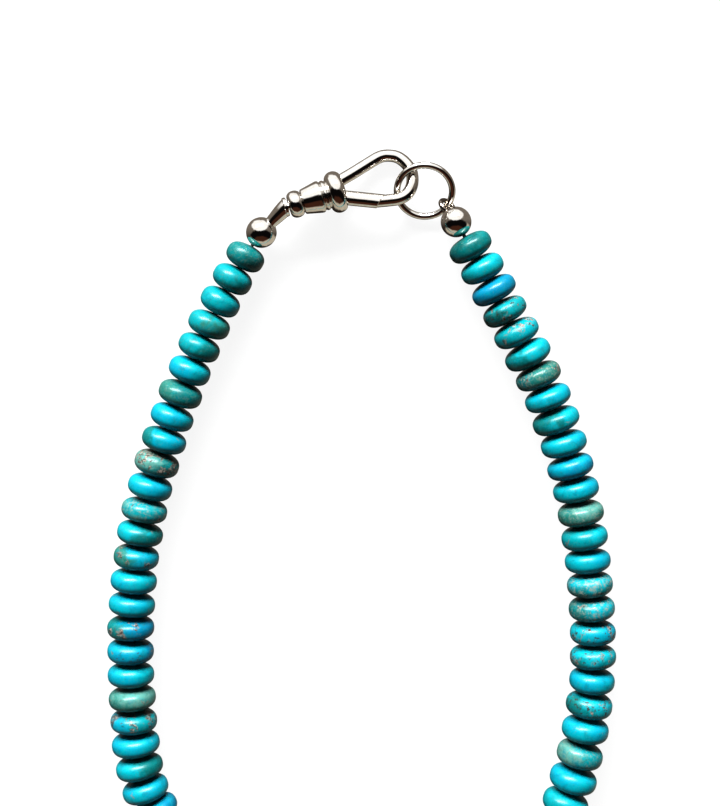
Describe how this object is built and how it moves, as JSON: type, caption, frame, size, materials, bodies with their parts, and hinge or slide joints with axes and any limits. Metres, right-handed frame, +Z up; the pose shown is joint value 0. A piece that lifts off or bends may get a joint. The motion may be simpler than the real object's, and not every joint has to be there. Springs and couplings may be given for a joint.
{
  "type": "beaded necklace",
  "caption": "Strand of turquoise rondelle beads, closed by a silver swivel hook clasp with a sprung gate and a jump ring, lying closed on a flat surface",
  "frame": {"origin": "on the surface that the necklace lies on, under the middle of its bounding box", "axes": "+Y from the front of the necklace to the clasp, +X to the right as the necklace is seen from above with its clasp at the top, +Z up"},
  "size_m": [0.107, 0.1808, 0.0104],
  "materials": {
    "turquoise": "polished, mottled from azure to green teal, with grey and brown matrix",
    "silver": "polished silver with fine wear"
  },
  "bodies": {
    "root": {"beads_left": "turquoise", "beads_right": "turquoise", "ball_with_swivel_shank": "silver", "ball_with_loop": "silver", "jump_ring": "silver"},
    "clasp": {"clasp_body": "silver"},
    "gate": {"clasp_gate": "silver"}
  },
  "joints": [
    {"name": "swivel", "type": "hinge", "parent": "root", "child": "clasp", "pos_m": [-0.00528, 0.08189, 0.00428], "axis": [-0.9536, -0.2825, 0.1045], "range_deg": [-2, 6]},
    {"name": "gate_lever", "type": "hinge", "parent": "clasp", "child": "gate", "pos_m": [-0.00397, 0.08081, 0.0047], "axis": [-0.003, 0.3558, 0.9345], "range_deg": [0, 28], "stiffness_Nm_per_rad": 0.005, "springref_deg": -11.46}
  ]
}
